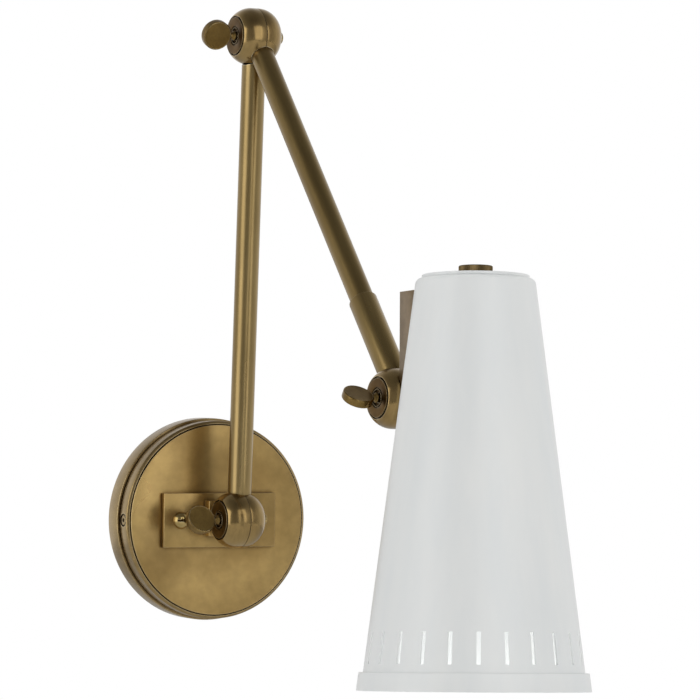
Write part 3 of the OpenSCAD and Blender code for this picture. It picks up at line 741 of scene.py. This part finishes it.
def arms():
    lower_length = (elbow_point - wall_point).length / MM
    upper_length = (shade_point - elbow_point).length / MM
    lower = tube("lower", LOWER_R, lower_length - KNUCKLE_R + 3, LOWER)
    elbow_place = placed(elbow_point, axis_of("elbow_pivot"), UP)
    ball = rod("ball", KNUCKLE_R + KNUCKLE_PLAY, -20, 20, elbow_place, segments=144)
    other = rod("other", UPPER_R + KNUCKLE_PLAY, 0, 40, UPPER)
    stands_for(combine(lower, [ball, other]), "lower_tube", tube_brass)

    upper = tube("upper", UPPER_R, upper_length - SPINDLE_S + 4, UPPER)
    stands_for(upper, "upper_tube", arm_brass)

    throat_r, floor = UPPER_R + 0.08, SOCKET_S + 6
    sleeve = lathe("sleeve", [
        (SLEEVE_BORE_R, SOCKET_S), (SLEEVE_R, SOCKET_S), (SLEEVE_R, SLEEVE_TOP - 0.4),
        (SLEEVE_R - 0.5, SLEEVE_TOP), (throat_r, SLEEVE_TOP), (throat_r, BUSH_TOP),
        (BUSH_R, BUSH_TOP), (BUSH_R, BUSH_BOTTOM), (NUT_ROOM_R, BUSH_BOTTOM), (NUT_ROOM_R, floor),
        (SLEEVE_BORE_R, floor)], SLEEVE, rounding=0.25, closed=True)
    stands_for(sleeve, "swivel_sleeve", arm_brass)


# ---------------------------------------------------------------- shade

SHADE_H = 217.0
SHADE_R = 31.7
SHADE_K = 0.129
SHEET = 1.2
SHOULDER = 3.2
SLITS = 24
SLIT_W = 2.2
SLIT_END = 13.1
SLIT_LENGTH = 16.8
SLIT_PHASE = 0.3
BAND_H = 8.7
BAND_DROP = 1.2       # how far the rim band reaches past the cone
BAND_FIT = 0.05
CROWN_HOLE_R = 19
DISC_R = 28.6
DISC_HOLE_R = 4.6


def cone_r(height):
    """Outer radius of the shade at a height below its top."""
    return SHADE_R + SHADE_K * height


def slit_cutter(low, high):
    """All the vent slits as one shape, between two heights below the shade's top."""
    radius = cone_r(SHADE_H)
    cutters = []
    for i in range(SLITS):
        turn = Matrix.Rotation(math.radians(SLIT_PHASE + i * 360 / SLITS), 4, "Z")
        cutters.append(box("slit", (-SLIT_W / 2, -radius - 5, -low),
                           (SLIT_W / 2, -radius + 15, -high), SHADE @ turn))
    bpy.context.view_layer.update()
    slits = cutters[0]
    inverse = slits.matrix_world.inverted()
    bm = bmesh.new()
    for cutter in cutters:
        cutter.data.transform(inverse @ cutter.matrix_world)
        bm.from_mesh(cutter.data)
    bm.to_mesh(slits.data)
    bm.free()
    for cutter in cutters[1:]:
        bpy.data.objects.remove(cutter)
    return slits


def shade():
    slant = math.sqrt(1 + SHADE_K ** 2)
    slope = math.degrees(math.atan(SHADE_K))
    centre = SHADE_R - SHOULDER * (slant - SHADE_K)
    slit_low, slit_high = SHADE_H - SLIT_END, SHADE_H - SLIT_END - SLIT_LENGTH
    levels = [20, 60, 100, 140, 170, slit_high - 2, slit_high, slit_low, slit_low + 2]
    sheet = SHEET * slant
    outline = [
        (CROWN_HOLE_R, 0), *arc(centre, -SHOULDER, SHOULDER, 90, slope, 8),
        *[(cone_r(h), -h) for h in levels], (cone_r(SHADE_H), -SHADE_H),
        (cone_r(SHADE_H) - sheet, -SHADE_H),
        *[(cone_r(h) - sheet, -h) for h in reversed(levels)],
        *arc(centre, -SHOULDER, SHOULDER - SHEET, slope, 90, 8), (CROWN_HOLE_R, -SHEET)]
    cone = lathe("cone", outline, SHADE, segments=SLITS * 8, rounding=0.0, closed=True)
    stands_for(combine(cone, [slit_cutter(slit_low, slit_high)], angle=30), "shade_cone",
               white_enamel)

    top, bottom = SHADE_H - BAND_H, SHADE_H + BAND_DROP
    inner_r = cone_r(bottom) - 1.2
    band = lathe("band", [
        (cone_r(top) + BAND_FIT, -top), (cone_r(top) + 2.3, -top), (cone_r(bottom) + 2.4, -bottom),
        (inner_r, -bottom), (inner_r, -SHADE_H - BAND_FIT),
        (cone_r(SHADE_H) + BAND_FIT, -SHADE_H - BAND_FIT)],
        SHADE, segments=256, rounding=0.55, closed=True)
    stands_for(band, "rim_band", white_enamel)

    disc = lathe("disc", [(DISC_HOLE_R, 0.05), (DISC_R, 0.05), (DISC_R, 1.8), (DISC_HOLE_R, 1.8)],
                 SHADE, segments=256, rounding=0.5, closed=True)
    stands_for(disc, "top_cap", white_enamel)


KNOB_R = 9.1
KNOB_LOW = 2.2
KNOB_HIGH = 6.9
KNOB_RIBS = 60
RIB_DEPTH = 0.22
PLAIN_DEPTH = 0.1     # of the knob's faces outside its ribs


def rib(angle, height):
    if KNOB_LOW + 0.3 < height < KNOB_HIGH - 0.3:
        return -RIB_DEPTH * (0.5 + 0.5 * math.cos(KNOB_RIBS * angle))
    return -PLAIN_DEPTH


def knob():
    radius, low, high = KNOB_R, KNOB_LOW, KNOB_HIGH
    body = lathe("knob", [
        (0, low - 3.2), (3, low - 3.2), (3, low), (radius - 0.35, low), (radius - 0.05, low + 0.35),
        (radius, low + 0.4), (radius, high - 0.4), (radius - 0.05, high - 0.35),
        (radius - 0.35, high), (radius - 2.6, high), (radius - 2.9, high - 0.25), (0, high - 0.25)],
        SHADE, segments=KNOB_RIBS * 6, rounding=0.0, wave=rib)
    shaft = rod("bore", 2.2, low - 6, high - 1.1, SHADE, segments=48)
    stands_for(combine(body, [shaft]), "switch_knob", knob_brass)


# ---------------------------------------------------------------- lampholder and bulb

SOCKET_END = 74.0
SOCKET_TOP = 30.0
SOCKET_R = 17.0
LINER_R = 13.8
STEM_HOLE_R = 5.05
BULB_R = 23.5
BULB_END = 152.0
GLASS_T = 1.0
NECK_R = 12.6
THROAT_R = 14
THREAD_R = 13
THREAD_PITCH = 3.6
THREAD_DEPTH = 0.55
THREAD_LOW = -SOCKET_END + 0.5
THREAD_HIGH = -SOCKET_END + 15.5
THREAD_ROWS = 44


def thread(angle, height):
    if not THREAD_LOW < height < THREAD_HIGH:
        return -THREAD_DEPTH
    return -THREAD_DEPTH * (0.5 - 0.5 * math.cos(2 * math.pi * height / THREAD_PITCH + angle))


def lamp():
    waist_r, bore_r = SOCKET_R - 0.6, LINER_R + 0.6
    shell = lathe("shell", [
        (STEM_HOLE_R, -SOCKET_TOP - 2.3), (11, -SOCKET_TOP - 2.3), (SOCKET_R, -SOCKET_TOP - 8),
        (SOCKET_R, -SOCKET_TOP - 12), (waist_r, -SOCKET_TOP - 12.6), (waist_r, -SOCKET_END + 6),
        (SOCKET_R, -SOCKET_END + 5.4), (SOCKET_R, -SOCKET_END), (bore_r, -SOCKET_END),
        (bore_r, -SOCKET_END + 30), (STEM_HOLE_R, -SOCKET_END + 30)],
        SHADE, segments=128, rounding=0.8, closed=True)
    stands_for(shell, "socket_shell", porcelain)

    neck = -SOCKET_END - 3
    centre = -BULB_END + BULB_R
    glass = lathe("glass", [
        (NECK_R - GLASS_T, neck), (NECK_R, neck), (THROAT_R, neck - 10),
        *arc(0, centre, BULB_R, 35, -90, 36), *arc(0, centre, BULB_R - GLASS_T, -90, 35, 36)[1:],
        (THROAT_R - GLASS_T, neck - 10)], SHADE, segments=128, rounding=0.4, closed=True)
    stands_for(glass, "bulb_glass", opal_glass)

    length = THREAD_HIGH - THREAD_LOW
    cap = lathe("cap", [
        (0, -SOCKET_END - 2.9), (THREAD_R, -SOCKET_END - 2.9),
        *[(THREAD_R, THREAD_LOW + length * i / THREAD_ROWS) for i in range(THREAD_ROWS + 1)],
        (THREAD_R, -SOCKET_END + 17), (8.5, -SOCKET_END + 21.5), (5, -SOCKET_END + 24.9),
        (0, -SOCKET_END + 24.9)], SHADE, rounding=0.0, wave=thread)
    stands_for(cap, "bulb_cap", plated_brass)

    for node, width, material in (
            ("shade_bracket", 0.5, bracket_brass), ("shade_lug", 0.4, cast_brass),
            ("shade_lug_nut", 0.35, steel), ("elbow_tang", 0.3, cast_brass),
            ("swivel_nut", 0.3, steel), ("switch_body", 0.4, fibre)):
        stands_for(refined(node, width), node, material)


# ---------------------------------------------------------------- studio

CAMERA_AZIMUTH = -28.157
CAMERA_ROLL = 0.82
CAMERA_TARGET = Vector((0.02011, -0.1506, 0.10223))
CAMERA_DISTANCE = 2.282
CAMERA_LENS = 206.0
SENSOR_WIDTH = 36
CLIP_RANGE = (0.1, 50)

LIGHT_CENTRE = Vector((0, -0.18, 0.12))
# name; offset from the centre towards the camera, its right and up; width, height; watts;
# whether the light shows in reflections, and whether it lights the surfaces
LIGHTS = (
    ("left_box", (1.3, -1.9, 0.3), (1.5, 2.2), 16, True, True),
    ("right_box", (0.6, 2.2, 0.3), (1.2, 2.2), 13, False, True),
    ("front_box", (2.4, 0.5, 0.3), (1.5, 1.5), 12, False, True),
    ("sheen_box", (1.68, 1.09, 0.57), (1.7, 2.2), 13, True, False),
    ("top_box", (0.4, 0, 2.2), (1.6, 1.6), 16, False, True),
)
FILL_DEPTH = 0.27     # of the small light inside the shade, in metres below its top
FILL_SIZE = 0.09
FILL_POWER = 0.1
FLOOR_RADIUS = 2.4
FLOOR_Z = -0.55


def camera():
    """Sets the camera and gives the directions towards it and to its right."""
    data = bpy.data.cameras.new("camera")
    data.lens = CAMERA_LENS
    data.sensor_width = SENSOR_WIDTH
    data.clip_start, data.clip_end = CLIP_RANGE
    item = bpy.data.objects.new("camera", data)
    bpy.context.scene.collection.objects.link(item)
    turn = math.radians(CAMERA_AZIMUTH)
    back = Vector((math.sin(turn), -math.cos(turn), 0))
    right = Vector((math.cos(turn), math.sin(turn), 0))
    roll = math.radians(CAMERA_ROLL)
    side_axis = right * math.cos(roll) + UP * math.sin(roll)
    up_axis = UP * math.cos(roll) - right * math.sin(roll)
    pose = Matrix((side_axis, up_axis, back)).transposed().to_4x4()
    item.matrix_world = Matrix.Translation(CAMERA_TARGET + back * CAMERA_DISTANCE) @ pose
    bpy.context.scene.camera = item
    return back, right


def softbox(name, spot, target, size, power, glossy, diffuse):
    data = bpy.data.lights.new(name, "AREA")
    data.shape = "RECTANGLE"
    data.size, data.size_y = size
    data.energy = power
    item = bpy.data.objects.new(name, data)
    bpy.context.scene.collection.objects.link(item)
    item.visible_camera = False
    item.visible_glossy = glossy
    item.visible_diffuse = diffuse
    facing = (spot - target).to_track_quat("Z", "Y")
    item.matrix_world = Matrix.Translation(spot) @ facing.to_matrix().to_4x4()


def surroundings(back):
    """White surroundings that the camera sees as plain white, dimmer on its own side and above."""
    world = bpy.data.worlds.new("studio")
    bpy.context.scene.world = world
    world.use_nodes = True
    tree = world.node_tree
    tree.nodes.clear()
    direction = tree.nodes.new("ShaderNodeTexCoord").outputs["Generated"]
    facing = node_of(tree, "ShaderNodeVectorMath", operation="DOT_PRODUCT", i0=direction,
                     i1=tuple(back)).outputs["Value"]
    glow = rescale(tree, facing, (-0.6, 0.8), (0.85, 0.30))
    height = tree.nodes.new("ShaderNodeSeparateXYZ")
    link(tree, direction, height.inputs[0])
    overhead = rescale(tree, height.outputs[2], (0.35, 0.90), (1.0, 0.35))
    strength = node_of(tree, "ShaderNodeMath", operation="MULTIPLY", i0=glow, i1=overhead)
    soft = node_of(tree, "ShaderNodeBackground", Color=(*WHITE, 1), Strength=strength.outputs[0])
    plain_white = node_of(tree, "ShaderNodeBackground", Color=(*WHITE, 1), Strength=1.0)
    seen = tree.nodes.new("ShaderNodeLightPath").outputs["Is Camera Ray"]
    mixed = node_of(tree, "ShaderNodeMixShader", i0=seen, i1=soft.outputs[0],
                    i2=plain_white.outputs[0])
    out = tree.nodes.new("ShaderNodeOutputWorld")
    link(tree, mixed.outputs[0], out.inputs[0])


def studio(back, right):
    surroundings(back)
    for name, (near, aside, above), size, power, glossy, diffuse in LIGHTS:
        spot = LIGHT_CENTRE + back * near + right * aside + UP * above
        softbox(name, spot, LIGHT_CENTRE, size, power, glossy, diffuse)
    rim = SHADE @ Vector((0, 0, -FILL_DEPTH))
    softbox("shade_fill", rim, shade_crown, (FILL_SIZE, FILL_SIZE), FILL_POWER, False, True)

    bpy.ops.mesh.primitive_circle_add(vertices=128, radius=FLOOR_RADIUS, fill_type="NGON",
                                      location=(0, -0.2, FLOOR_Z))
    floor = bpy.context.object
    floor.name = "floor"
    dress(floor, plain("floor_paint", (0.80, 0.80, 0.79), (0.84, 0.84, 0.83), 0.7, scale=40,
                       strength=0.05))
    bpy.context.scene.view_settings.view_transform = "Standard"


for node, cad in frame["nodes"].items():
    dress(cad, SLOT_MATERIALS[NODE_SLOTS[node]])
wall_plate()
knuckles()
arms()
shade()
knob()
lamp()
studio(*camera())
